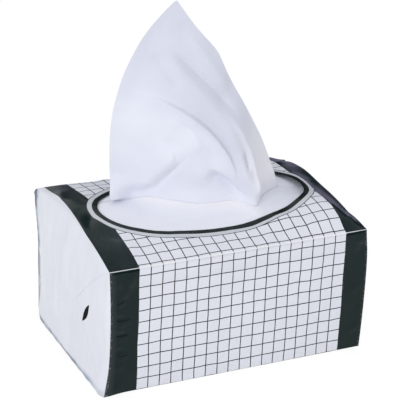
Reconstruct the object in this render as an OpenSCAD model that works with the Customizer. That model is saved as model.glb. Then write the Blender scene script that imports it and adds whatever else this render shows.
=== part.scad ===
// Soft pack of polishing wipes: a film-wrapped stack with an oval tear-out in its crowned top
// and one wipe pulled half way up through it.
// Millimetres, +Z up, front towards -Y, origin on the base under the middle of the pack.

/* [Pack] */
// Length of the front panel from end crease to end crease
pack_length = 225; // [190:1:280]
// Depth of the pack from front panel to back panel
pack_depth = 153; // [130:1:190]
// Height of the front top crease above the base
front_height = 107; // [80:1:140]
// Height of the back panel where it meets the crown
back_height = 112; // [85:1:145]
// Rise of the crowned top over the line from front crease to back panel
crown_rise = 10; // [6:0.5:16]
// Outward bulge of each end, at its middle
end_bulge = 5; // [2:0.5:10]
// Radius of the soft edge between the crown and the back panel
back_edge_radius = 12; // [6:1:18]
// Radius of the two long edges that meet the table
base_edge_radius = 4; // [2:0.5:8]

/* [Film] */
// Thickness of the wrapping film
film_thickness = 0.3; // [0.2:0.05:0.5]
// Distance from each end crease to the oval tear-out
opening_end_margin = 24; // [16:1:34]
// Distance from the front crease to the oval tear-out
opening_side_margin = 30; // [20:1:36]
// Fullness of the oval: an ellipse at 2, squarer above it
opening_fullness = 2.2; // [2:0.1:3]
// Height at which the folded flaps of each end overlap
end_seal_height = 58; // [40:1:70]
// Overlap of the two folded flaps at each end
end_seal_overlap = 12; // [6:1:20]
// Inset of the end flaps from the creases round each end
end_flap_inset = 2; // [1:0.5:4]
// Width of the lap seam along the back panel
back_seam_width = 14; // [8:1:24]
// Height of the lower edge of the back seam above the base
back_seam_height = 26; // [12:1:40]

/* [Wipes] */
// Thickness of one soft wipe
wipe_thickness = 0.8; // [0.5:0.1:1.2]
// Number of folded wipes that show as rounds along the sides of the stack
fold_count = 24; // [12:1:36]
// Play between the wipes, and between the wipes and the film
wipe_play = 0.3; // [0.2:0.05:0.5]
// Depth of the slit that still holds the foot of the raised wipe
slit_depth = 14; // [8:1:24]
// Lift of the next wipe's free edge, where the raised one drags it up
lip_lift = 4; // [2:0.5:10]
// Length of that lifted stretch
lip_length = 50; // [36:1:64]

/* [Raised wipe] */
// Height of the pulled-up corner over the base
tip_height = 287; // [230:1:320]
// Place of the pulled-up corner along the pack
tip_x = -27; // [-45:1:10]
// Place of the pulled-up corner across the pack
tip_y = 6; // [-10:1:20]
// Width of the blunt corner at the very top
tip_width = 3; // [2:0.5:6]
// Left end of the raised wipe's foot in the slit
foot_left = -70; // [-78:1:-60]
// Right end of the raised wipe's foot in the slit
foot_right = 69; // [50:1:74]
// How far the foot kicks forward in a narrow fold at its right
tail_kick = 12; // [0:1:16]
// Place of that fold along the pack
tail_x = 35; // [26:1:44]
// Half the width of that fold
tail_width = 9; // [8:0.5:14]
// How far the front of the raised wipe bellies forward
wipe_belly = 6; // [2:1:16]

/* [Hidden] */
$fn = 96;

WHITE = [0.92, 0.93, 0.95];
PRINTED_WHITE = [0.86, 0.87, 0.90];

half_length = pack_length / 2;
half_depth = pack_depth / 2;
reach = pack_length + 4 * end_bulge;

// The crown is one arc through the front crease and the top of the back panel
chord = norm([pack_depth, back_height - front_height]);
crown_radius = (pow(chord / 2, 2) + pow(crown_rise, 2)) / (2 * crown_rise);
crown_drop = crown_radius - crown_rise;
crown_y = (back_height - front_height) / chord * crown_drop;
crown_z = (front_height + back_height) / 2 - pack_depth / chord * crown_drop;

function unit(v) = v / norm(v);

// Height of the crown at depth y, for a skin lying inset below it
function crown_at(y, inset) = crown_z + sqrt(pow(crown_radius - inset, 2) - pow(y - crown_y, 2));

// The back shoulder is an arc that meets the crown and the back panel at a faint crease
shoulder_crease = back_edge_radius / 12;
shoulder_y = half_depth - back_edge_radius + shoulder_crease;
shoulder_z = crown_at(shoulder_y, 0) - back_edge_radius + shoulder_crease;

// Each end is a shallow spherical cap
end_radius = (pow(half_depth, 2) + pow(end_bulge, 2)) / (2 * end_bulge);
end_middle = (front_height + back_height) / 4;

// Layers of the top, from the film down to the stack
next_wipe_inset = film_thickness + wipe_play;
stack_inset = next_wipe_inset + wipe_thickness + wipe_play;

// The pack's body

// Section across the pack: front and back panels, crown and base, all lying inset inside the skin
module side_profile(inset, base_inset) {
    half = half_depth - inset;
    radius = base_edge_radius - base_inset;
    intersection() {
        union() {
            translate([-half, base_inset + radius]) square([2 * half, 2 * front_height]);
            translate([-half + radius, base_inset]) square([2 * (half - radius), front_height]);
            for (side = [-1, 1])
                translate([side * (half - radius), base_inset + radius]) circle(radius);
        }
        translate([crown_y, crown_z]) circle(crown_radius - inset, $fn = 240);
        union() {
            translate([shoulder_y, shoulder_z]) circle(back_edge_radius - inset);
            translate([-pack_depth, -front_height])
                square([pack_depth + shoulder_y, 4 * front_height]);
            translate([-pack_depth, -front_height])
                square([2 * pack_depth, front_height + shoulder_z]);
        }
    }
}

// The whole pack as a solid, with a skin of that thickness taken off
module pack_body(inset, base_inset) {
    intersection() {
        rotate([90, 0, 90])
            linear_extrude(reach, center = true) side_profile(inset, base_inset);
        end_cap(-1, inset);
        end_cap(1, inset);
    }
}

// The ball whose far side is one bulged end
module end_cap(side, inset) {
    translate([side * (half_length + end_bulge - end_radius), 0, end_middle])
        rotate([0, 0, 90 + 90 * side]) sphere(end_radius - inset, $fn = 240);
}

// Film wrapper

opening_half_length = half_length - opening_end_margin;
opening_half_width = half_depth - opening_side_margin;

// Outline of an oval about its centre, fuller at its corners than an ellipse
function oval_point(angle) =
    let (c = cos(angle), s = sin(angle), power = 2 / opening_fullness)
    [opening_half_length * sign(c) * pow(abs(c), power),
     opening_half_width * sign(s) * pow(abs(s), power)];

module opening() {
    steps = 96;
    translate([0, 0, front_height / 2]) linear_extrude(front_height)
        polygon([for (i = [0:steps - 1]) oval_point((i + 0.5) * 360 / steps)]);
}

// A flap folded over one end: a skin of the bulge inside the flap's outline
module end_flap(side, outline, layer) {
    intersection() {
        translate([side * half_length, 0, 0]) rotate([90, 0, 90])
            linear_extrude(4 * end_bulge, center = true) polygon(outline);
        difference() {
            end_cap(side, -layer * film_thickness);
            end_cap(side, film_thickness / (1 + layer));
        }
    }
}

// The film's top flap is folded down over the end, and its bottom flap up under it
flap_half = half_depth - end_flap_inset;
top_flap_low = end_seal_height - end_seal_overlap / 2;
bottom_flap_high = end_seal_height + end_seal_overlap / 2;
flap_top = front_height - end_flap_inset;
bottom_flap = [
    [-flap_half, base_edge_radius], [flap_half, base_edge_radius],
    [flap_half - (bottom_flap_high - base_edge_radius), bottom_flap_high],
    [-flap_half + (bottom_flap_high - base_edge_radius), bottom_flap_high],
];
top_flap = [
    [-flap_half + (flap_top - top_flap_low), top_flap_low],
    [flap_half - (flap_top - top_flap_low), top_flap_low],
    [flap_half, flap_top], [-flap_half, flap_top],
];

module film_wrapper() {
    color(PRINTED_WHITE) {
        difference() {
            pack_body(0, 0);
            pack_body(film_thickness, film_thickness);
            opening();
        }
        for (side = [-1, 1]) {
            end_flap(side, bottom_flap, 1);
            end_flap(side, top_flap, 2);
        }
        back_seam();
    }
}

// The lap where the film's two long edges are welded together
module back_seam() {
    seam_length = pack_length - 2 * end_flap_inset;
    translate([-seam_length / 2, half_depth - film_thickness / 2, back_seam_height])
        cube([seam_length, 1.5 * film_thickness, back_seam_width]);
}

// Path of the slit

// Half way points of the slit across the stack, from its left end to its right end
slit_path = [
    [foot_left, 21], [-52, 16], [-25, -2], [-7, -11], [14, -15], [36, -15], [foot_right, 3],
];

// Slope of the path at a knot, from its neighbours
function knot_slope(path, k) =
    let (a = path[max(k - 1, 0)], b = path[min(k + 1, len(path) - 1)])
    (b[1] - a[1]) / (b[0] - a[0]);

// A smooth curve through the knots of a path, as y over x
function along_path(path, x, k = 0) =
    x > path[k + 1][0] && k < len(path) - 2 ? along_path(path, x, k + 1) :
    let (a = path[k], b = path[k + 1], w = b[0] - a[0], s = (x - a[0]) / w)
    (2 * s ^ 3 - 3 * s ^ 2 + 1) * a[1] + (3 * s ^ 2 - 2 * s ^ 3) * b[1]
    + w * (s ^ 3 - 2 * s ^ 2 + s) * knot_slope(path, k)
    + w * (s ^ 3 - s ^ 2) * knot_slope(path, k + 1);

slit_floor = crown_at(0, stack_inset) - slit_depth;

// How far the narrow fold at the right of the foot stands forward at x
function kick_at(x) = tail_kick * exp(-pow((x - tail_x) / tail_width, 2));

// Depth of the slit's middle at x, held level past its ends: without that fold, and with it
function path_y(x) = along_path(slit_path, min(max(x, foot_left), foot_right));
function slit_y(x) = path_y(x) - kick_at(min(max(x, foot_left), foot_right));

// Stack of folded wipes

module wipe_stack() {
    slit_half = wipe_thickness / 2 + 2 * wipe_play;
    steps = 60;
    slit_xs = [for (i = [0:steps])
        foot_left - slit_half + i / steps * (foot_right - foot_left + 2 * slit_half)];
    color(WHITE) difference() {
        intersection() {
            pack_body(stack_inset, film_thickness);
            rotate([90, 0, 90]) linear_extrude(reach, center = true) folded_edges();
        }
        translate([0, 0, slit_floor]) linear_extrude(2 * slit_depth)
            polygon(concat(
                [for (x = slit_xs) [x, slit_y(x) - 1.2 * slit_half]],
                [for (i = [steps:-1:0]) [slit_xs[i], slit_y(slit_xs[i]) + 1.2 * slit_half]]
            ));
    }
}

// Side view of the folds: one round-edged band for each folded wipe
module folded_edges() {
    top = front_height + crown_rise + back_height - front_height;
    pitch = (top - film_thickness) / fold_count;
    half = half_depth - stack_inset - wipe_play;
    translate([-half + pitch / 2, 0]) square([2 * half - pitch, top]);
    for (i = [0:fold_count - 1])
        for (side = [-1, 1])
            translate([side * (half - 0.55 * pitch), film_thickness + (i + 0.5) * pitch])
                circle(0.55 * pitch, $fn = 32);
}

// Sheets

// A closed sheet from two grids of points, its front and its back, each rows of equal length
module sheet_solid(front, back) {
    rows = len(front);
    columns = len(front[0]);
    half = rows * columns;
    function at(i, j) = i * columns + j;
    faces = [
        for (i = [0:rows - 2]) for (j = [0:columns - 2])
            let (a = at(i, j), b = at(i, j + 1), c = at(i + 1, j + 1), d = at(i + 1, j))
            each [[a, d, c], [a, c, b], [half + a, half + c, half + d], [half + a, half + b, half + c]],
        for (j = [0:columns - 2])
            let (a = at(0, j), b = at(0, j + 1), c = at(rows - 1, j + 1), d = at(rows - 1, j))
            each [[a, b, half + b], [a, half + b, half + a], [c, d, half + d], [c, half + d, half + c]],
        for (i = [0:rows - 2])
            let (a = at(i, 0), d = at(i + 1, 0), b = at(i, columns - 1), c = at(i + 1, columns - 1))
            each [[d, a, half + a], [d, half + a, half + d], [b, c, half + c], [b, half + c, half + b]],
    ];
    polyhedron(
        points = concat([for (row = front) each row], [for (row = back) each row]),
        faces = faces
    );
}

function smooth(s) = let (c = min(max(s, 0), 1)) c * c * (3 - 2 * c);

// The next wipe, lying on the stack in front of the slit

lip_middle = foot_left + lip_length / 2 - 12;
lip_run = 26;

// Rise of the free edge at x, where the raised wipe drags it up
function lip_at(x) =
    let (s = (x - lip_middle) / (lip_length / 2))
    abs(s) < 1 ? lip_lift * pow(1 - s * s, 2) : 0;

module next_wipe() {
    columns = 70;
    rows = 12;
    half = half_length - end_bulge - stack_inset;
    front_y = -half_depth + stack_inset;
    function edge_y(x) = slit_y(x) - 1.2 * (wipe_thickness / 2 + 2 * wipe_play);
    function top_point(x, s) =
        let (y = front_y + s * (edge_y(x) - front_y), run = (edge_y(x) - y) / lip_run)
        [x, y, crown_at(y, next_wipe_inset) + lip_at(x) * smooth(1 - run)];
    top = [for (r = [0:rows]) [for (c = [0:columns])
        top_point(-half + 2 * half * c / columns, 1 - pow(1 - r / rows, 1.4))]];
    under = [for (row = top) [for (p = row) p - [0, 0, wipe_thickness]]];
    color(WHITE) sheet_solid(top, under);
}

// The raised wipe, standing in the slit like a tent

// Folds of the raised wipe, as seen from the front: start, bow and end of the fold in X and Z,
// its height towards the front, and how far it fades to its lower left and its upper right
FOLDS = [
    [[-56, 214], [4, 202], [20, 136], 5, 26, 7],
    [[-30, 256], [2, 220], [28, 164], 3.5, 22, 10],
    [[-24, 250], [2, 232], [22, 196], -4, 8, 9],
    [[6, 204], [43, 162], [36, 118], 6, 4, 11],
    [[-26, 176], [-44, 150], [-66, 118], 6.5, 24, 8],
    [[-6, 152], [13, 145], [33, 118], -4, 8, 4],
];

function bezier(a, b, c, s) = (1 - s) ^ 2 * a + 2 * s * (1 - s) * b + s ^ 2 * c;

// How p lies to the k-th of the straight pieces of a fold line: its distance, whether it is to
// the left of the line's run, and how far along the whole line its nearest point is
function piece_gap(p, line, k) =
    let (
        a = line[k], d = line[k + 1] - a,
        s = min(max((p - a) * d / (d * d), 0), 1), g = p - a - s * d
    ) [norm(g), d[0] * g[1] - d[1] * g[0] > 0, (k + s) / (len(line) - 1)];

// Height of one fold at p, a point of the front view; it fades out towards both of its ends
function fold_at(fold, p) =
    let (
        steps = 8,
        line = [for (i = [0:steps]) bezier(fold[0], fold[1], fold[2], i / steps)],
        gaps = [for (k = [0:steps - 1]) piece_gap(p, line, k)],
        near = min([for (g = gaps) g[0]]),
        gap = [for (g = gaps) if (g[0] == near) g][0],
        width = gap[1] ? fold[5] : fold[4],
        fade = smooth(3 * gap[2]) * smooth(4 * (1 - gap[2]))
    ) fold[3] * fade * exp(-pow(near / width, 1.5));

function sum_folds(p, k = 0) = k < len(FOLDS) ? fold_at(FOLDS[k], p) + sum_folds(p, k + 1) : 0;

left_bow = [-90, 238];
right_bow = [48, 186];

// Middle of the raised wipe: u runs from its left edge to its right, t from its foot to its tip
function wipe_point(u, t) =
    let (
        foot_x = foot_left + u * (foot_right - foot_left),
        foot = [foot_x, crown_at(slit_y(foot_x), stack_inset)],
        tip = [tip_x + (u - 0.5) * tip_width, tip_height],
        bow = left_bow + u * (right_bow - left_bow),
        sweep = bezier(foot, bow, tip, t),
        p = sweep + [3.5 * u * u * exp(-pow((sweep[1] - 0.85 * tip_height) / 13, 2)), 0],
        belly = wipe_belly * 4 * u * (1 - u) * pow(sin(180 * pow(t, 0.7)), 2) + 4 * pow(u, 4) * sin(180 * t),
        root_x = p[0] + smooth(8 * t - 0.4) * (foot_x - p[0]),
        lean = path_y(root_x) * (1 - smooth(t)) + tip_y * smooth(t),
        tail = kick_at(root_x) * (1 - smooth(1.8 * t)),
        folded = smooth(16 * t - 0.5) * (1 - smooth(6 * t - 5)) * sum_folds(p)
    ) [p[0], lean - tail - belly - folded, p[1]];

// The foot goes straight down to the floor of the slit
function foot_point(u, share) =
    let (top = wipe_point(u, 0)) [top[0], top[1], top[2] + share * (slit_floor - top[2])];

module raised_wipe() {
    columns = 46;
    rows = 36;
    foot_rows = 2;
    middle = concat(
        [for (r = [foot_rows:-1:1]) [for (c = [0:columns]) foot_point(c / columns, r / foot_rows)]],
        [for (r = [0:rows]) [for (c = [0:columns]) wipe_point(c / columns, r / rows)]]
    );
    last_row = len(middle) - 1;
    function across(r, c) = middle[r][min(c + 1, columns)] - middle[r][max(c - 1, 0)];
    function up(r, c) = middle[min(r + 1, last_row)][c] - middle[max(r - 1, 0)][c];
    function offset_point(r, c, side) =
        middle[r][c] + side * wipe_thickness / 2 * unit(cross(across(r, c), up(r, c)));
    front = [for (r = [0:last_row]) [for (c = [0:columns]) offset_point(r, c, 1)]];
    back = [for (r = [0:last_row]) [for (c = [0:columns]) offset_point(r, c, -1)]];
    color(WHITE) sheet_solid(front, back);
}

film_wrapper();
wipe_stack();
next_wipe();
raised_wipe();
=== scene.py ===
# Film pack of polishing wipes: the looks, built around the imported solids.
import math

import bpy
import numpy as np
from mathutils import Matrix, Vector, noise


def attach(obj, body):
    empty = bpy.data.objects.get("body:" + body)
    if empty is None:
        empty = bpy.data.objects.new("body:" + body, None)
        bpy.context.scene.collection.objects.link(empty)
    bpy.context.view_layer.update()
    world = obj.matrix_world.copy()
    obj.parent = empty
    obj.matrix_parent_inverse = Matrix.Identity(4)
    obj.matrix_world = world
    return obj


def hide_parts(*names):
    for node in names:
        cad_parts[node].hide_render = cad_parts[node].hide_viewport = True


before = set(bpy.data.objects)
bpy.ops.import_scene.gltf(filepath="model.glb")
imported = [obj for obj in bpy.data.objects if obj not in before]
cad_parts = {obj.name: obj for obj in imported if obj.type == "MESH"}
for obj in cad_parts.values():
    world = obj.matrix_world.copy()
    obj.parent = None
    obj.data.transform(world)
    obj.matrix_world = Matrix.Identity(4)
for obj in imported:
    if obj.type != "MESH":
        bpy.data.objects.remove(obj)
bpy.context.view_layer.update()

# Film wrapper
# One tube of thin clear film, printed on its panels and left clear at the ends. It is drawn tight
# round the wipes, welded along the back, and folded over and sealed at both ends.
MM = 0.001
pack_length, pack_depth = 225.0, 153.0
front_height, back_height, crown_rise = 107.0, 112.0, 10.0
shoulder_radius, shoulder_sink = 12.0, 1.0
opening_end_margin, opening_side_margin, opening_fullness = 24.0, 30.0, 2.2
skin_gauge, crease_round = 0.2, 0.7
half_length, half_depth = pack_length / 2, pack_depth / 2
opening_long, opening_wide = half_length - opening_end_margin, half_depth - opening_side_margin
# A point nearer than this to a panel of the flat box lies on it
on_panel = 0.2


def points_of(piece):
    flat = np.empty(len(piece.data.vertices) * 3)
    piece.data.vertices.foreach_get("co", flat)
    return flat.reshape(-1, 3) / MM


def place_points(piece, points):
    piece.data.vertices.foreach_set("co", (np.asarray(points) * MM).ravel())
    piece.data.update()


# A number at each point of a piece, for its material to read
def mark(piece, name, values):
    piece.data.attributes.new(name, "FLOAT", "POINT").data.foreach_set("value", values)


# A soft step from 0 to 1
def ease(share):
    share = np.clip(share, 0, 1)
    return share * share * (3 - 2 * share)


# A soft rise, 1 in its middle and gone at about twice its reach
def swelling(offset, reach):
    return np.exp(-((offset / reach) ** 2))


# Soft unevenness in waves of the given lengths
def waviness(x, y, z, lengths, start=0):
    points = np.stack(np.broadcast_arrays(x, y, z), axis=1) / lengths + (0, 0, start)
    return np.array([noise.noise(Vector(point)) for point in points])


# How far along a straight stretch points lie, and how far off it in both directions
def from_stretch(u, v, start, end):
    step_u, step_v = end[0] - start[0], end[1] - start[1]
    along = ((u - start[0]) * step_u + (v - start[1]) * step_v) / (step_u**2 + step_v**2)
    along = np.clip(along, 0, 1)
    return along, u - start[0] - along * step_u, v - start[1] - along * step_v


# The top from front to back: an arc as the crown, with a round shoulder at the back
chord = math.hypot(pack_depth, back_height - front_height)
crown_radius = (chord * chord / 4 + crown_rise**2) / (2 * crown_rise)
crown_y = (back_height - front_height) / chord * (crown_radius - crown_rise)
crown_z = (front_height + back_height) / 2 - pack_depth / chord * (crown_radius - crown_rise)


def crown_at(y, inset=0.0):
    return crown_z + np.sqrt((crown_radius - inset) ** 2 - (y - crown_y) ** 2)


shoulder_y = half_depth - shoulder_radius + shoulder_sink
shoulder_z = crown_at(shoulder_y) - shoulder_radius + shoulder_sink
line_y = np.linspace(-half_depth, half_depth, 1200)
shoulder_arc = np.sqrt(np.maximum(shoulder_radius**2 - np.maximum(line_y - shoulder_y, 0) ** 2, 0))
line_z = crown_at(line_y)
line_z = np.where(line_y > shoulder_y, np.minimum(line_z, shoulder_z + shoulder_arc), line_z)
run = np.concatenate([[0], np.cumsum(np.hypot(np.diff(line_y), np.diff(line_z)))])
run /= run[-1]


# A box of the pack's size with finely divided faces
def divided_box(name, cuts):
    bpy.ops.object.select_all(action="DESELECT")
    bpy.ops.mesh.primitive_cube_add(size=1, location=(0, 0, front_height / 2 * MM))
    box = bpy.context.object
    box.name = name
    bpy.ops.object.mode_set(mode="EDIT")
    bpy.ops.mesh.select_all(action="SELECT")
    bpy.ops.transform.resize(value=(pack_length * MM, pack_depth * MM, front_height * MM))
    bpy.ops.mesh.subdivide(number_cuts=cuts)
    bpy.ops.object.mode_set(mode="OBJECT")
    bpy.ops.object.transform_apply(location=True, rotation=True, scale=True)
    return box


film = divided_box("film_skin", cuts=74)

# The oval is cut while the panels are still flat
cutter_depth, rim_points = 40.0, 192
bpy.ops.object.select_all(action="DESELECT")
bpy.ops.mesh.primitive_cylinder_add(
    vertices=rim_points, radius=1, depth=cutter_depth * MM, location=(0, 0, front_height * MM)
)
cutter = bpy.context.object
bpy.ops.object.transform_apply(location=True, rotation=True, scale=True)
oval = points_of(cutter)
angle = np.arctan2(oval[:, 1], oval[:, 0])
power = 2 / opening_fullness
oval[:, 0] = opening_long * np.sign(np.cos(angle)) * np.abs(np.cos(angle)) ** power
oval[:, 1] = opening_wide * np.sign(np.sin(angle)) * np.abs(np.sin(angle)) ** power
place_points(cutter, oval)
rim_path = oval[oval[:, 2] > front_height][:, :2]
rim_path = rim_path[np.argsort(np.arctan2(rim_path[:, 1], rim_path[:, 0]))]
bpy.ops.object.select_all(action="DESELECT")
film.select_set(True)
bpy.context.view_layer.objects.active = film
cut = film.modifiers.new("opening", "BOOLEAN")
cut.object, cut.operation, cut.solver = cutter, "DIFFERENCE", "EXACT"
bpy.ops.object.modifier_apply(modifier="opening")
bpy.data.objects.remove(cutter)

# What the cut leaves inside the box is deleted
bpy.context.tool_settings.mesh_select_mode = (False, False, True)
bpy.ops.object.mode_set(mode="EDIT")
bpy.ops.mesh.select_all(action="DESELECT")
bpy.ops.object.mode_set(mode="OBJECT")
for face in film.data.polygons:
    x, y, z = face.center / MM
    within_sides = abs(x) < half_length - on_panel and abs(y) < half_depth - on_panel
    face.select = within_sides and on_panel < z < front_height - on_panel
bpy.ops.object.mode_set(mode="EDIT")
bpy.ops.mesh.delete(type="FACE")
bpy.ops.object.mode_set(mode="OBJECT")

# The map follows the film: across the pack, and once round it from the front crease. The ends have
# a place of their own beside the panels.
end_place, panel_limit = 200.0, 150.0


def end_map(x, y, z):
    return math.copysign(end_place, x), z


def back_map(x, y, z):
    return x, pack_depth + front_height - z


flat_box = points_of(film)
wrap = film.data.uv_layers.new(name="wrap")
for face in film.data.polygons:
    normal = face.normal
    for loop in face.loop_indices:
        x, y, z = flat_box[film.data.loops[loop].vertex_index]
        if abs(normal.x) > 0.5:
            across, along = end_map(normal.x, y, z)
        elif normal.y < -0.5:
            across, along = x, z - front_height
        elif normal.z > 0.5:
            across, along = x, y + half_depth
        elif normal.y > 0.5:
            across, along = back_map(x, y, z)
        else:
            across, along = x, -front_height - y - half_depth
        wrap.data[loop].uv = (across * MM, along * MM)

# How far each point of the top is from the rim of the oval
far_from_rim = 200.0
from_rim = np.full(len(flat_box), far_from_rim)
flat_top = flat_box[:, 2] > front_height - on_panel
for start, end in zip(rim_path, np.roll(rim_path, -1, axis=0)):
    _, gap_x, gap_y = from_stretch(*flat_box[flat_top, :2].T, start, end)
    from_rim[flat_top] = np.minimum(from_rim[flat_top], np.hypot(gap_x, gap_y))
mark(film, "from_rim", from_rim * MM)

# How far the top sags: the wipes push it up at the front right, and it falls away at the right end
push_x, push_y, push_long, push_wide, push_edge, push_height = 86, -46, 34, 30, 14, 6.3
fall_start, fall_run, fall_front_run, fall_back_run, fall_depth = 90, 24, 34, 10, 7.5


def sag_at(x, y):
    push = swelling(x - push_x, push_long) * swelling(y - push_y, push_wide)
    push *= ease((half_depth - np.abs(y)) / push_edge)
    end_fall = ease((x - fall_start) / fall_run)
    slack = np.clip((half_depth - y) / fall_back_run, 0, 1)
    slack *= np.clip((half_depth + y) / fall_front_run, 0, 1) * (1 - 0.4 * ease(y / 40))
    return fall_depth * end_fall * slack - push_height * push * (1 - end_fall)


# Film pulled out into soft ears at some corners: the corner, the pull and its reach
ears = [
    ((-half_length, half_depth, front_height), (-3.8, 0.4, 1.4), 34),
    ((half_length, -half_depth, front_height), (-1.8, -0.3, 0.4), 16),
    ((-half_length, half_depth, 0), (0.6, 1.2, -1.0), 12),
    ((-half_length, -half_depth, 0), (-1.0, -2.0, 0), 9),
    ((half_length, half_depth, front_height), (0.6, -0.6, -3.2), 12),
]
end_fullness, end_squareness = 6.5, 0.7
waist_start, waist_run, left_waist, right_waist = 78, 36, 2.0, 1.4
foot_spread, foot_height = 5.0, 16


# Carries points on the flat box to the form of the filled pack: crown, shoulder, full ends and sag
def fill_out(flat):
    x, y, z = flat.T
    up = z / front_height
    mid_height = np.clip(1 - (2 * up - 1) ** 2, 0, 1)
    across = (y + half_depth) / pack_depth
    at_end = np.abs(x) > half_length - on_panel
    at_side = np.abs(y) > half_depth - on_panel
    full = flat.copy()
    full[:, 1] = y + (np.interp(across, run, line_y) - y) * up**2
    full[:, 2] = up * (np.interp(across, run, line_z) - sag_at(x, y))
    pillow = np.clip(1 - (y / half_depth) ** 2, 0, 1) * mid_height
    full[:, 0] += np.sign(x) * np.where(at_end, end_fullness * pillow**end_squareness, 0)
    waist = mid_height * ease((np.abs(x) - waist_start) / waist_run) * at_side
    full[:, 0] += np.where(x < 0, left_waist, right_waist) * waist
    spread = swelling(z, foot_height) * ease((half_depth - y) / 22) * ease((y + half_depth + 6) / 14)
    full[:, 0] -= np.where(at_end & (x < 0), foot_spread * spread, 0)
    for corner, pull, reach in ears:
        gap = np.linalg.norm(flat - np.array(corner), axis=1)
        full += swelling(gap, reach)[:, None] * np.array(pull)
    full[:, 2] = np.maximum(full[:, 2], 0)
    return full


# A crease in a panel: a ridge along a line that fades out at both ends
def crease(u, v, start, end, width, height):
    along, gap_u, gap_v = from_stretch(u, v, start, end)
    return height * np.sin(math.pi * along) ** 0.6 * swelling(np.hypot(gap_u, gap_v), width)


# Creases of each panel: both ends, half width and height, which is below 0 for a dent
front_creases = [
    ((-111, 104), (-101, 82), 2.6, 1.6), ((-92, 104), (-101, 82), 2.4, 1.3),
    ((-109, 66), (-97, 65), 2.0, -1.3), ((-109, 52), (-96, 51), 2.0, -1.2),
    ((-109, 38), (-98, 36), 2.0, -1.1), ((-111, 20), (-100, 26), 2.2, 0.9),
    ((110, 103), (98, 88), 2.6, 1.0), ((111, 92), (100, 96), 2.0, -0.8),
    ((84, 105), (90, 84), 2.4, 0.6), ((109, 60), (99, 52), 2.5, 0.5),
    ((111, 24), (101, 14), 2.2, 0.7),
]
top_creases = [
    ((-108, -70), (-92, -40), 4.0, 1.2), ((-106, -20), (-94, 4), 3.2, -1.0),
    ((-110, 34), (-95, 58), 4.0, 1.1), ((-90, -74), (-82, -48), 3.0, 0.8),
    ((20, -76), (38, -53), 6.0, 1.0), ((60, -74), (62, -50), 4.0, -0.8),
    ((108, -72), (94, -44), 4.0, 1.4), ((110, -58), (99, -66), 2.2, 1.2),
    ((106, 10), (96, -14), 3.2, -1.0), ((108, 60), (92, 44), 4.0, 1.0),
    ((-60, 74), (-48, 54), 4.0, 0.7), ((40, 74), (30, 55), 4.0, 0.7),
]
end_creases = [
    ((-64, 98), (-46, 20), 5.0, 1.0), ((-30, 104), (-24, 30), 6.0, -1.0),
    ((4, 104), (-2, 18), 5.0, 0.9), ((34, 100), (26, 24), 6.0, -0.9),
    ((58, 96), (46, 14), 5.0, 1.0), ((-20, 40), (10, 6), 4.0, 0.8),
    ((40, 44), (66, 10), 4.0, 0.9), ((-70, 60), (-52, 52), 3.0, 0.7),
    ((20, 84), (44, 66), 4.0, 0.6),
]
tight_edge, wave_edge = 5.0, 12
front_waves, back_waves, top_waves, end_waves = 0.7, 0.7, 0.9, 1.5
front_ripple, top_ripple, end_ripple = 0.16, 0.18, 0.25
rim_push_x, rim_push_y, rim_push_long, rim_push_wide, rim_push = 44, -50, 15, 10, 2.2
back_ragged, end_ragged = 1.6, 1.4


# The film's own form: the filled pack with creases and waves across its panels
def drawn_tight(flat):
    x, y, z = flat.T
    side = np.sign(x)
    waves = waviness(x, y, z, (31, 27, 29))
    ripple = waviness(x, y, z, (9, 9, 12), 7)
    ragged = waviness(x, y, z, (50, 12, 12), 3)
    inner_waves = waves * np.clip((half_length - np.abs(x)) / wave_edge, 0, 1)
    front_lift = front_waves * inner_waves + front_ripple * ripple
    top_lift = top_waves * inner_waves + top_ripple * ripple
    end_lift = end_waves * waves + end_ripple * ripple
    for each in front_creases:
        front_lift += crease(x, z, *each)
    for each in top_creases:
        top_lift += crease(x, y, *each)
    for each in end_creases:
        end_lift += crease(side * y, z, *each)
    # The raised wipe's fold that kicks forward pushes the rim up at the front
    by_fold = swelling(x - rim_push_x, rim_push_long) * swelling(y - rim_push_y, rim_push_wide)
    top_lift += rim_push * by_fold
    edge_x = np.clip((half_length - np.abs(x)) / tight_edge, 0, 1)
    edge_y = np.clip((half_depth - np.abs(y)) / tight_edge, 0, 1)
    edge_z = np.clip(np.minimum(front_height - z, z) / tight_edge, 0, 1)
    at_end = np.abs(x) > half_length - on_panel
    on_top, on_base = z > front_height - on_panel, z < on_panel
    at_front = (y < on_panel - half_depth) & ~on_top
    at_back = y > half_depth - on_panel
    tight = fill_out(flat)
    tight[:, 1] -= np.where(at_front, front_lift * edge_x * edge_z, 0)
    tight[:, 1] += np.where(at_back & ~on_top, back_waves * waves * edge_x * edge_z, 0)
    tight[:, 2] += np.where(on_top, top_lift * edge_x * edge_y, 0)
    tight[:, 0] += side * np.where(at_end, end_lift * edge_y * edge_z, 0)
    tight[:, 1] += np.where(at_end & at_back & ~on_top, back_ragged * ragged, 0)
    tight[:, 0] += side * np.where(at_end & (at_back | on_base), end_ragged * ragged, 0)
    return tight


place_points(film, drawn_tight(flat_box))
film_panels = [film]


# A grid, and how far across and along it each of its points lies, from 0 to 1
def divided_sheet(name, cuts_across, cuts_along):
    bpy.ops.object.select_all(action="DESELECT")
    bpy.ops.mesh.primitive_grid_add(x_subdivisions=cuts_across, y_subdivisions=cuts_along, size=1)
    sheet = bpy.context.object
    sheet.name = name
    across, along, _ = points_of(sheet).T * MM + 0.5
    return sheet, across, along


root_run = 12


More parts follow.
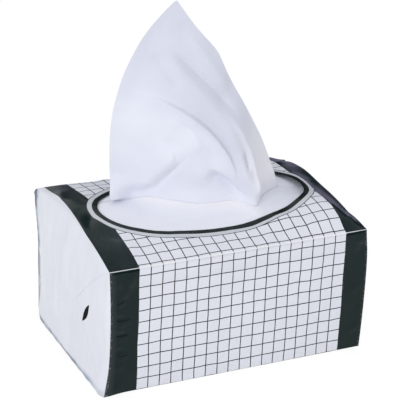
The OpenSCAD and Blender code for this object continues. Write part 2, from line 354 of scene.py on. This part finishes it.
# One more layer of the film: a grid whose corners are given on the flat box, laid `proud` over a
# panel and rising from it at the height of its root
def lay_over(name, corners, cuts, proud, map_at, root_z=math.inf):
    layer, s, t = divided_sheet(name, *cuts)
    a, b, c, d = (np.array(corner, float) for corner in corners)
    low, high = a + s[:, None] * (b - a), d + s[:, None] * (c - d)
    flat = low + t[:, None] * (high - low)
    clear_of_root = np.clip(np.abs(flat[:, 2] - root_z) / root_run, 0, 1)[:, None]
    place_points(layer, drawn_tight(flat) + clear_of_root * np.array(proud))
    layer.data.uv_layers[0].name = "wrap"
    for loop in layer.data.loops:
        across, along = map_at(*flat[loop.vertex_index])
        layer.data.uv_layers["wrap"].data[loop.index].uv = (across * MM, along * MM)
    mark(layer, "from_rim", np.full(len(flat), far_from_rim * MM))
    film_panels.append(layer)


# Folded over at each end: first the flap from below, then the one from above, sealed over it.
# Each has the height of its root and of its free edge, and how far it stands proud.
seal_height, seal_overlap, flap_inset, base_round = 58, 12, 2, 4
flaps = [
    ("flap_from_below", base_round, seal_height + seal_overlap / 2, 0.12),
    ("flap_from_above", front_height - 0.5, seal_height - seal_overlap / 2, 0.24),
]
for hand in (-1, 1):
    for name, root, free, proud in flaps:
        end_x, wide = hand * half_length, hand * (half_depth - flap_inset)
        narrow = wide - hand * abs(root - free)
        (low_z, low_y), (high_z, high_y) = sorted([(root, wide), (free, narrow)])
        corners = [
            (end_x, -low_y, low_z), (end_x, low_y, low_z),
            (end_x, high_y, high_z), (end_x, -high_y, high_z),
        ]
        lay_over(name, corners, (80, 40), (hand * proud, 0, 0), end_map, root)

# The lengthwise weld, folded flat against the back
seam_low, seam_high, seam_inset, seam_proud = 26, 40, 3, 0.4
seam_end = half_length - seam_inset
corners = [
    (seam_end, half_depth, seam_low), (-seam_end, half_depth, seam_low),
    (-seam_end, half_depth, seam_high), (seam_end, half_depth, seam_high),
]
lay_over("back_weld", corners, (110, 6), (0, seam_proud, 0), back_map)
bpy.ops.object.select_all(action="DESELECT")
for layer in film_panels:
    layer.select_set(True)
bpy.context.view_layer.objects.active = film
bpy.ops.object.join()


# Gives the active sheet its thickness, which lies on one side of it at -1 and on both at 0
def give_gauge(sheet, gauge, offset, sharp_angle):
    wall = sheet.modifiers.new("gauge", "SOLIDIFY")
    wall.thickness, wall.offset = gauge * MM, offset
    bpy.ops.object.modifier_apply(modifier="gauge")
    bpy.ops.object.shade_smooth_by_angle(angle=math.radians(sharp_angle))


crisp = film.modifiers.new("crease_round", "BEVEL")
crisp.width, crisp.segments = crease_round * MM, 2
crisp.limit_method, crisp.angle_limit = "ANGLE", math.radians(40)
bpy.ops.object.modifier_apply(modifier="crease_round")
give_gauge(film, skin_gauge, offset=-1, sharp_angle=50)


# One output of a material's nodes; sums on it add Math nodes to the same tree
class Shade:
    def __init__(self, tree, socket=None):
        self.tree, self.socket = tree, socket

    def node(self, kind, settings, sockets, output=0):
        made = self.tree.nodes.new(kind)
        for name, value in settings.items():
            setattr(made, name, value)
        for name, value in sockets.items():
            if isinstance(value, Shade):
                self.tree.links.new(value.socket, made.inputs[name])
            else:
                made.inputs[name].default_value = value
        return Shade(self.tree, made.outputs[output])

    def maths(self, operation, first, second=0.0):
        return self.node("ShaderNodeMath", {"operation": operation}, {0: first, 1: second})

    def __add__(self, other):
        return self.maths("ADD", self, other)

    def __sub__(self, other):
        return self.maths("SUBTRACT", self, other)

    def __rsub__(self, other):
        return self.maths("SUBTRACT", other, self)

    def __mul__(self, other):
        return self.maths("MULTIPLY", self, other)

    def __truediv__(self, other):
        return self.maths("DIVIDE", self, other)

    def __lt__(self, other):
        return self.maths("LESS_THAN", self, other)

    def __gt__(self, other):
        return self.maths("GREATER_THAN", self, other)

    def __abs__(self):
        return self.maths("ABSOLUTE", self)

    __radd__, __rmul__ = __add__, __mul__

    # This value, never below or above a limit
    def at_least(self, limit):
        return self.maths("MAXIMUM", self, limit)

    def at_most(self, limit):
        return self.maths("MINIMUM", self, limit)

    # This value's place between start and end, carried to low and high
    def ranged(self, start, end, low, high, curve="SMOOTHSTEP"):
        return self.node("ShaderNodeMapRange", {"interpolation_type": curve}, {
            "Value": self, "From Min": start, "From Max": end, "To Min": low, "To Max": high,
        })

    # One coordinate of this place
    def axis(self, index):
        return self.node("ShaderNodeSeparateXYZ", {}, {0: self}, output=index)

    # Mottling of this fineness at this place
    def mottle(self, scale, detail=2.0):
        return self.node("ShaderNodeTexNoise", {}, {"Vector": self, "Scale": scale, "Detail": detail})

    # A colour from the first to the second, as this mask goes from 0 to 1
    def between(self, first, second):
        sockets = {0: self, 6: first, 7: second}
        return self.node("ShaderNodeMix", {"data_type": "RGBA"}, sockets, output=2)

    # This colour under ink of another colour
    def tint(self, mask, ink):
        return mask.between(self, ink)

    def into(self, socket):
        self.tree.links.new(self.socket, socket)


# A new material, its nodes and its surface shader
def finish_of(name):
    made = bpy.data.materials.new(name)
    made.use_nodes = True
    return made, Shade(made.node_tree), made.node_tree.nodes["Principled BSDF"]


# Written as seen on the screen, 0 to 255
def colour(red, green, blue):
    return [((c / 255 + 0.055) / 1.055) ** 2.4 for c in (red, green, blue)] + [1]


# The number that was marked at each point
def marked(nodes, name):
    return nodes.node("ShaderNodeAttribute", {"attribute_name": name}, {}, output=2)


# The print: dark green bands at both sides, and between them a square grid on a pale ground
print_shift, print_half, grid_pitch, grid_line, row_shift = 2.1, 90.2, 10.0, 0.8, 3.0
printed, nodes, surface = finish_of("printed_film")
wrap_at = nodes.node("ShaderNodeUVMap", {"uv_map": "wrap"}, {})
u, v = wrap_at.axis(0) * 1000, wrap_at.axis(1) * 1000
place = nodes.node("ShaderNodeTexCoord", {}, {}, output=3)
panel = abs(u) < panel_limit
clouds = place.mottle(28.0, 3.0)
wander, wander_up = place.mottle(40.0) - 0.5, place.mottle(55.0) - 0.5
inside = abs(u - print_shift) < print_half
print_limit = v.ranged(0.0, pack_depth, half_length + 2, half_length - 6.5)
band = (1 - inside) * panel * (1 - ((u * -1) > print_limit))
columns = nodes.maths("PINGPONG", u - print_shift + 1.4 * wander, grid_pitch / 2) < grid_line / 2
rows = nodes.maths("PINGPONG", v - row_shift + 1.8 * wander_up, grid_pitch / 2) < grid_line / 2
grid = columns.at_least(rows) * inside
ground = clouds.between(colour(220, 222, 231), colour(230, 232, 239))
inked = ground.tint(grid, colour(34, 36, 38)).tint(band, colour(6, 28, 28))

# Rings round the oval, from the rim outwards: dark green, grey and a thin line. The green one swells
# at the front right.
green_width, grey_width, line_width = 4.4, 8.2, 8.9
swell_u, swell_v = u - 34, v - 33
rim = marked(nodes, "from_rim") * 1000
swell = (1 - swell_u * swell_u / 1400 - swell_v * swell_v / 300).at_least(0)
green_ring = rim < green_width + swell * (1.3 + 5 * wander)
inked = inked.tint(rim < line_width, colour(52, 56, 58)).tint(rim < grey_width, colour(200, 203, 209))
inked = inked.tint(green_ring, colour(10, 26, 23))

# Along the front crease the ink is rubbed off and a painted highlight of the crease lies over it.
# Lighter specks run down the front's side edges, and a painted sheen makes the left edge of the front a
# little paler
specks = place.mottle(420.0, 1.0) > 0.56
side_edge = abs(abs(u) - half_length + 0.9) < 0.8
left_sheen = (1 - (u + half_length) / 6).at_least(0)
rubbed_and_highlit = (abs(v) < 0.8 - 0.4 * band) * (0.45 + 0.5 * clouds) * panel
rubbed_and_highlit = rubbed_and_highlit + (0.08 * specks * side_edge + 0.03 * left_sheen) * (v < 0) * panel
inked = inked.tint(rubbed_and_highlit, colour(240, 241, 244))

# The clear ends: streaks drawn down the film, painted shade of its fine wrinkles; the folded back and
# bottom edges painted blue-grey with shade, darker in patches by the base; and by the seal of the left
# end a short dark slot
slot_y, slot_z, slot_long, slot_wide = -42.7, 57.0, 12.65, 3.0
slant = math.atan2(14.5, 21.4)
where_y, where_z = place.axis(1) * 1000, place.axis(2) * 1000
slot_along = (where_z - slot_z) * math.cos(slant) - (where_y - slot_y) * math.sin(slant)
slot_across = (where_z - slot_z) * math.sin(slant) + (where_y - slot_y) * math.cos(slant)
dark_slot = abs(slot_across) < slot_wide * (1 - slot_along * slot_along / slot_long**2)
dark_slot = dark_slot * (u < -panel_limit)
from_edge = ((half_depth - where_y) * 0.5).at_most(where_z) + 7 * (clouds - 0.5)
off_front = where_y.ranged(4 - half_depth, 26 - half_depth, 0.15, 1.0, "LINEAR")
blue = from_edge.ranged(2.0, 7.0, 0.85, 0.0) * (1 - panel) * off_front
drawn_down = nodes.node("ShaderNodeMapping", {}, {"Vector": place, "Scale": (70, 70, 14)})
streaks = drawn_down.mottle(1.0, 3.0)
patches = place.mottle(75.0) > 0.5
# Painted shade of the wrinkles, then painted blue shade along the folded edges
inked = inked.tint((streaks - 0.3) * (1 - panel), colour(206, 210, 219))
inked = inked.tint(blue, colour(120, 142, 170)).tint(blue * patches, colour(48, 68, 90))
inked.tint(dark_slot, colour(8, 10, 12)).into(surface.inputs["Base Color"])

# Folds finer than the mesh: a roll of the film under the front crease, and short dents in the left
# front band. Both ends on the map, half width and height.
pinches = [
    ((-170, -3.6), (170, -3.6), 3.2, 1.5), ((-107.5, -30.5), (-99, -27), 1.4, 0.5),
    ((-107, -44), (-94.5, -44), 1.4, 0.55), ((-107.5, -57.4), (-95, -57.4), 1.2, 0.42),
    ((-106, -75), (-95.5, -75), 1.2, 0.42),
]
pinched = 0
for (u_a, v_a), (u_b, v_b), width, height in pinches:
    run_u, run_v = u_b - u_a, v_b - v_a
    share = ((u - u_a) * run_u + (v - v_a) * run_v) / (run_u**2 + run_v**2)
    share = share.at_least(0).at_most(1)
    gap_u, gap_v = u - u_a - share * run_u, v - v_a - share * run_v
    gap_v = gap_v * (1 - 0.75 * (gap_v < 0))
    ridge = (1 - (gap_u * gap_u + gap_v * gap_v) / width**2).at_least(0)
    pinched = pinched + 4 * height * share * (1 - share) * ridge
fine = place.mottle(160.0)
uneven = nodes.node("ShaderNodeBump", {}, {"Strength": 0.12, "Distance": 0.0004, "Height": fine})
folded = nodes.node("ShaderNodeBump", {}, {"Distance": MM, "Height": pinched, "Normal": uneven})
folded.into(surface.inputs["Normal"])
(0.14 + 0.12 * clouds + 0.8 * dark_slot).into(surface.inputs["Roughness"])
surface.inputs["Specular IOR Level"].default_value = 0.2
film.data.materials.append(printed)
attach(film, "root")
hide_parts("film_wrapper")

# Stack of wipes
# Soft white nonwoven wipes, folded in half and laid into one another. They fill the film, show in
# the oval, and their slit holds the raised wipe.
nonwoven, nodes, surface = finish_of("nonwoven")
place = nodes.node("ShaderNodeTexCoord", {}, {}, output=3)
fabric = place.mottle(45.0, 4.0).between(colour(222, 225, 237), colour(234, 236, 246))
# Painted shade greys the wipes and painted light whitens them, where their points are marked
fabric = fabric.tint(marked(nodes, "painted_shade") * 0.6, colour(206, 208, 222))
fabric.tint(marked(nodes, "painted_light"), colour(251, 249, 250)).into(surface.inputs["Base Color"])
fibres = 0
for stretch in ((260, 2600, 900), (2600, 300, 900), (1200, 900, 2600)):
    drawn = nodes.node("ShaderNodeMapping", {}, {
        "Vector": place, "Scale": stretch, "Rotation": (0.3, 0.5, 0.6),
    })
    fibres = fibres + drawn.mottle(1.0)
felted = nodes.node("ShaderNodeBump", {}, {"Strength": 0.25, "Distance": 0.0003, "Height": fibres})
felted.into(surface.inputs["Normal"])
surface.inputs["Roughness"].default_value = 0.95
surface.inputs["Specular IOR Level"].default_value = 0.15
surface.inputs["Sheen Weight"].default_value = 0.25

# The slit runs in a smooth curve through these points of the top
slit_knots = np.array([[-70, 21], [-52, 16], [-25, -2], [-7, -11], [14, -15], [36, -15], [69, 3]], float)
last = len(slit_knots) - 1
step_x, step_y = (slit_knots[np.r_[1 : last + 1, last]] - slit_knots[np.r_[0, 0:last]]).T
slit_slopes = step_y / step_x


def slit_path(x):
    x = np.clip(x, slit_knots[0, 0], slit_knots[-1, 0])
    k = np.clip(np.searchsorted(slit_knots[:, 0], x) - 1, 0, last - 1)
    width = slit_knots[k + 1, 0] - slit_knots[k, 0]
    s = (x - slit_knots[k, 0]) / width
    return (
        (2 * s**3 - 3 * s**2 + 1) * slit_knots[k, 1] + (3 * s**2 - 2 * s**3) * slit_knots[k + 1, 1]
        + width * (s**3 - 2 * s**2 + s) * slit_slopes[k] + width * (s**3 - s**2) * slit_slopes[k + 1]
    )


# At its right the raised wipe kicks forward over the slit in one narrow fold
kick_at, kick_width, kick_reach = 35, 9, 12


def kick(x):
    return -kick_reach * swelling(x - kick_at, kick_width)


def slit_y(x):
    return slit_path(x) + kick(x)


# The wipes lie a little lower at the right end of the oval
hollow_x, hollow_y, hollow_long, hollow_wide, hollow_depth = 86, -4, 15, 24, 5


def hollow_at(x, y):
    return hollow_depth * swelling(x - hollow_x, hollow_long) * swelling(y - hollow_y, hollow_wide)


# From 0 in the oval to 1 well under the film
def under_rim(x, y):
    out = (np.abs(x) / opening_long) ** opening_fullness + (np.abs(y) / opening_wide) ** opening_fullness
    return ease((out - 0.85) / 0.3)


# Towards the right of the oval the wipes are painted greyer: painted shadow that the raised wipe casts
# there
def painted_shadow_at(x):
    return 0.9 * ease((x - 36) / 36)


fold_count, end_room, side_room, base_room = 24, 2.6, 2.3, 0.6
slit_left, slit_right, slit_fade, slit_half_width, slit_sink = -82, 76, 14, 2.2, 12
front_sink, rim_sink = 1.8, 1.4
stack = divided_box("wipe_stack_leaves", cuts=95)
flat_stack = points_of(stack)
flat_y, flat_z = flat_stack[:, 1], flat_stack[:, 2]
leaves = fill_out(flat_stack)
turned_edge = np.abs(np.sin(math.pi * flat_z * fold_count / front_height)) - 0.6
leaves[:, 1] += np.where(np.abs(flat_y) > half_depth - on_panel, np.sign(flat_y) * turned_edge, 0)
leaves[:, 0] *= 1 - end_room / half_length
leaves[:, 1] *= 1 - side_room / half_depth
leaves[:, 2] = base_room + leaves[:, 2] * (1 - 2 * base_room / front_height)
leaf_x, leaf_y = leaves[:, 0], leaves[:, 1]
behind = leaf_y - slit_y(leaf_x)
in_slit = ease((leaf_x - slit_left) / slit_fade) * ease((slit_right - leaf_x) / slit_fade)
in_slit *= swelling(behind, slit_half_width)
sunk = front_sink * (1 - ease((behind + 1) / 4)) + slit_sink * in_slit
sunk += 0.5 * waviness(leaf_x, leaf_y, 0, (30, 24, 1), 9)
sunk += rim_sink * under_rim(leaf_x, leaf_y) + hollow_at(leaf_x, leaf_y)
leaves[:, 2] -= np.where(flat_z > front_height - on_panel, sunk, 0)
place_points(stack, leaves)
# Painted shadow of the raised wipe greys the stack towards the right of the oval
mark(stack, "painted_shade", painted_shadow_at(leaf_x))
bpy.ops.object.shade_smooth_by_angle(angle=math.radians(60))
stack.data.materials.append(nonwoven)
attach(stack, "root")
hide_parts("wipe_stack")

# Next wipe
# The nonwoven wipe that comes out after the raised one. It lies under the film on the stack, in
# front of the slit, and its free edge is dragged up into a soft rolled lip.
film_gauge, wipe_gauge, play = 0.3, 0.8, 0.3
lip_half, lip_inset, lip_gap, lip_sink = 104, 4, 0.8, 0.4
lip_left, lip_left_run, lip_right, lip_right_run = -62, 20, 46, 26
lip_dip_x, lip_dip_reach, lip_dip = -8, 20, 0.35
lip_height, lip_run, lip_rim_sink = 4, 26, 1.3
lip, lip_across, lip_along = divided_sheet("next_wipe_sheet", 170, 90)
lip_x = (lip_across - 0.5) * 2 * lip_half
lip_edge = slit_y(lip_x) - lip_gap
lip_front = lip_inset - half_depth
lip_y = lip_front + lip_along * (lip_edge - lip_front)
to_edge = lip_edge - lip_y
lip_rise = ease((lip_x - lip_left) / lip_left_run) * ease((lip_right - lip_x) / lip_right_run)
lip_rise *= 1 - lip_dip * swelling(lip_x - lip_dip_x, lip_dip_reach)
lip_z = crown_at(lip_y, film_gauge + play) - sag_at(lip_x, lip_y) - lip_sink
lip_z += lip_height * lip_rise * ease(1 - to_edge / lip_run) - hollow_at(lip_x, lip_y)
lip_z += 0.25 * waviness(lip_x, lip_y, 0, (40, 30, 1), 3) - lip_rim_sink * under_rim(lip_x, lip_y)
place_points(lip, np.stack([lip_x, lip_y, lip_z], axis=1))
# The lip is painted whiter, most along its roll and less to the right: painted light and a painted
# highlight. At the right of the oval it takes the raised wipe's painted shadow.
mark(lip, "painted_light", (0.22 + 0.7 * lip_rise * ease(1 - to_edge / 18)) * ease((80 - lip_x) / 60))
mark(lip, "painted_shade", painted_shadow_at(lip_x))
give_gauge(lip, wipe_gauge, offset=-1, sharp_angle=60)
lip.data.materials.append(nonwoven)
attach(lip, "root")
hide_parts("next_wipe")

# Raised wipe
# One nonwoven wipe pulled half way out of the slit. Its corner stands up in a soft point, and its
# sides fall in folds to the slit, whose squeeze holds it up.
raised_gauge, stack_inset, slit_depth = 0.6, film_gauge + wipe_gauge + 2 * play, 14
foot_left, foot_right, foot_share = slit_knots[0, 0], slit_knots[-1, 0], 0.05
tip_x, tip_y, tip_z, tip_width = -27.0, 6.0, 287.0, 1.5
left_bow_x, left_bow_z, right_bow_x, right_bow_z = -90.0, 238.0, 48.0, 186.0
belly_depth, flank_depth = 6, 4
neck_z, neck_height, neck_fullness = 244, 13, 3.5
corner_x, corner_run, corner_out, corner_forward = -52, 18, 5, 9
# Each fold: the start, bow and end of its line in X and Z, its height, and its widths on the right
# and left. A height below 0 is a hollow.
lap_line = ((-63, 217), (2, 200), (21, 136))
wipe_folds = [
    (*lap_line, 4.0, 26, 1.4),
    (*lap_line, 2.0, 3.5, 1.0),
    ((-33, 196), (-13, 187), (6, 150), -2.4, 8, 2.6),
    ((-22, 204), (-20, 188), (-11, 164), 2.2, 10, 6),
    ((-42, 252), (-8, 218), (26, 164), 3.0, 20, 9),
    ((-36, 252), (-7, 228), (26, 188), -4.5, 6, 3.5),
    ((-24, 266), (0, 242), (20, 206), 3.5, 7, 12),
    ((-45, 248), (-37, 233), (-25, 216), -2.2, 5, 5),
    ((6, 204), (43, 162), (36, 118), 7.0, 3.5, 11),
    ((25, 165), (28, 156), (29, 147), -3.8, 1.8, 1.6),
    ((-26, 176), (-42, 150), (-66, 104), 8.0, 15, 10),
    ((-20, 168), (-35, 142), (-54, 100), -2.8, 6, 2.0),
    ((-39, 180), (-33, 171), (-27, 158), -1.8, 2.5, 3.5),
    ((-5, 154), (14, 147), (34, 120), 2.0, 1.0, 12),
    ((-6, 152), (13, 145), (33, 118), -6.0, 8, 1.3),
]


# A curve from start to end that is drawn towards the bow
def bowed(share, start, bow, end):
    return (1 - share) ** 2 * start + 2 * share * (1 - share) * bow + share**2 * end


# How far points lie from a bowed line in X and Z, how far along it, and whether on its left
def from_line(x, z, start, bow, end):
    stretches = 24
    shares = np.linspace(0, 1, stretches + 1)[:, None]
    line = bowed(shares, np.array(start), np.array(bow), np.array(end))
    nearest = np.full(x.shape, np.inf)
    share, on_left = np.zeros(x.shape), np.zeros(x.shape, bool)
    for k in range(stretches):
        along, gap_x, gap_z = from_stretch(x, z, line[k], line[k + 1])
        step = line[k + 1] - line[k]
        gap = np.hypot(gap_x, gap_z)
        closer = gap < nearest
        nearest = np.where(closer, gap, nearest)
        share = np.where(closer, (k + along) / stretches, share)
        on_left = np.where(closer, step[0] * gap_z - step[1] * gap_x > 0, on_left)
    return nearest, share, on_left


# Height of one fold along such a line, with a width of its own on each side
def fold(x, z, start, bow, end, height, right_width, left_width):
    nearest, share, on_left = from_line(x, z, start, bow, end)
    width = np.where(on_left, left_width, right_width)
    return height * ease(3 * share) * ease(4 * (1 - share)) * np.exp(-((nearest / width) ** 1.5))


wipe, wipe_across, wipe_up = divided_sheet("raised_wipe_sheet", 190, 215)
wipe_t = np.clip((wipe_up - foot_share) / (1 - foot_share), 0, 1)
foot_down = np.clip((foot_share - wipe_up) / foot_share, 0, 1)
foot_x = foot_left + wipe_across * (foot_right - foot_left)
foot_z = crown_at(slit_y(foot_x), stack_inset) - sag_at(foot_x, slit_y(foot_x))
bow_x = left_bow_x + wipe_across * (right_bow_x - left_bow_x)
bow_z = left_bow_z + wipe_across * (right_bow_z - left_bow_z)
wipe_x = bowed(wipe_t, foot_x, bow_x, tip_x + (wipe_across - 0.5) * tip_width)
wipe_z = bowed(wipe_t, foot_z, bow_z, tip_z)
wipe_x += neck_fullness * wipe_across**2 * swelling(wipe_z - neck_z, neck_height)
belly = belly_depth * 4 * wipe_across * (1 - wipe_across) * np.sin(math.pi * wipe_t**0.7) ** 2
belly += flank_depth * wipe_across**4 * np.sin(math.pi * wipe_t)
rooted = wipe_x + ease(8 * wipe_t - 0.4) * (foot_x - wipe_x)
lean = slit_path(rooted) + ease(wipe_t) * (tip_y - slit_path(rooted))
lean += kick(rooted) * (1 - ease(1.8 * wipe_t))
folds = sum(fold(wipe_x, wipe_z, *each) for each in wipe_folds)
folds += 1.2 * waviness(wipe_x, wipe_z, 0, (24, 30, 1), 5)
wipe_y = lean - belly - ease(16 * wipe_t - 0.5) * (1 - ease(6 * wipe_t - 5)) * folds
# Its left corner hangs forward over the next wipe
corner = ease((corner_x - wipe_x) / corner_run)
corner *= ease((wipe_t - 0.006) / 0.02) * (1 - ease((wipe_t - 0.03) / 0.09))
wipe_x -= corner_out * corner
wipe_y -= corner_forward * corner
# Its foot goes down to the floor of the slit
slit_floor = crown_at(0, stack_inset) - slit_depth
wipe_z -= foot_down * (wipe_z - slit_floor - 0.2)
place_points(wipe, np.stack([wipe_x, wipe_y, wipe_z], axis=1))

# Above its lap, where the wipe is a single layer, it is painted greyer: painted shade
shade_line = ((-94, 223), (0, 207), (21, 136))
nearest, share, on_left = from_line(wipe_x, wipe_z, *shade_line)
above_lap = np.where(on_left, nearest, -nearest) / (56 - 48 * ease(3 * share - 0.6))
mark(wipe, "painted_shade", ease(0.5 + above_lap) * ease((wipe_z - 112) / 60))
# Its right flank near the foot is painted whiter: painted light
mark(wipe, "painted_light", 0.5 * ease((wipe_across - 0.7) / 0.2) * ease((195 - wipe_z) / 50))
give_gauge(wipe, raised_gauge, offset=0, sharp_angle=60)
wipe.data.materials.append(nonwoven)
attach(wipe, "root")
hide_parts("raised_wipe")

# Studio
# A pale table, even soft light from all round with a broad lamp at the front left, and a long lens.
# Two cards that only gloss sees keep the film's print deep in colour. Sizes are in metres.
bpy.ops.object.select_all(action="DESELECT")
bpy.ops.mesh.primitive_plane_add(size=8, location=(0, 0, -0.0005))
table = bpy.context.object
table.name = "table"
pale, nodes, surface = finish_of("pale_table")
surface.inputs["Base Color"].default_value = (0.9, 0.9, 0.9, 1)
surface.inputs["Roughness"].default_value = 1
seen = nodes.node("ShaderNodeLightPath", {}, {})
for output in ("Is Glossy Ray", "Is Transmission Ray"):
    seen = seen.at_least(nodes.node("ShaderNodeLightPath", {}, {}, output))
glow = nodes.node("ShaderNodeEmission", {}, {"Color": (1, 1, 1, 1), "Strength": 1.06})
mixed = nodes.node("ShaderNodeMixShader", {}, {
    0: seen * 0.85, 1: Shade(pale.node_tree, surface.outputs[0]), 2: glow,
})
mixed.into(pale.node_tree.nodes["Material Output"].inputs["Surface"])
table.data.materials.append(pale)


def gloss_card(name, location, turn, size, finish):
    bpy.ops.object.select_all(action="DESELECT")
    bpy.ops.mesh.primitive_plane_add(size=1, location=location)
    card = bpy.context.object
    card.name = name
    card.rotation_euler = [math.radians(degrees) for degrees in turn]
    card.scale = (*size, 1)
    card.data.materials.append(finish)
    card.visible_camera = card.visible_diffuse = card.visible_transmission = card.visible_shadow = False


# The one at the back right is lavender at its foot, which the back of the top shows
card_black, card_lavender = (0.05, 0.05, 0.055, 1), (0.38, 0.36, 0.52, 1)
shaded, nodes, surface = finish_of("shaded_card")
up_card = nodes.node("ShaderNodeTexCoord", {}, {}).axis(1)
card_foot = up_card.ranged(0.06, 0.14, 1.0, 0.0)
card_foot.between(card_black, card_lavender).into(surface.inputs["Base Color"])
surface.inputs["Roughness"].default_value = 1
gloss_card("dark_card", (1.226, 0.7065, 0.818), (40, 0, -30), (1.842, 2.55), shaded)

# The other stands at the front, where the film's folds that face up a little show it
black, nodes, surface = finish_of("black_card")
surface.inputs["Base Color"].default_value = card_black
surface.inputs["Roughness"].default_value = 1
gloss_card("front_card", (0.475, -2.2, 0.62), (90, 0, 0), (4.05, 1.0), black)

world = bpy.context.scene.world or bpy.data.worlds.new("studio")
bpy.context.scene.world = world
world.use_nodes = True
background = world.node_tree.nodes["Background"]
background.inputs["Color"].default_value = (0.97, 0.98, 1, 1)
background.inputs["Strength"].default_value = 0.8

lamp_place, lamp_aim = (-1.25, -1.25, 0.9), Vector((0, 0, 0.1))
bpy.ops.object.light_add(type="AREA", location=lamp_place)
lamp = bpy.context.object
lamp.rotation_euler = (lamp_aim - lamp.location).to_track_quat("-Z", "Y").to_euler()
lamp.data.shape, lamp.data.size, lamp.data.energy = "SQUARE", 0.8, 10.3

camera_place = (-0.584, -1.194, 0.719)
camera_turn, camera_fall, camera_roll = -25.98, 24.36, 2.58
turned = (
    Matrix.Rotation(math.radians(camera_turn), 3, "Z")
    @ Matrix.Rotation(math.radians(90 - camera_fall), 3, "X")
    @ Matrix.Rotation(math.radians(camera_roll), 3, "Z")
)
bpy.ops.object.camera_add(location=camera_place, rotation=turned.to_euler())
camera = bpy.context.object
camera.data.lens, camera.data.sensor_width = 162, 36
bpy.context.scene.camera = camera
bpy.context.scene.view_settings.view_transform = "Standard"
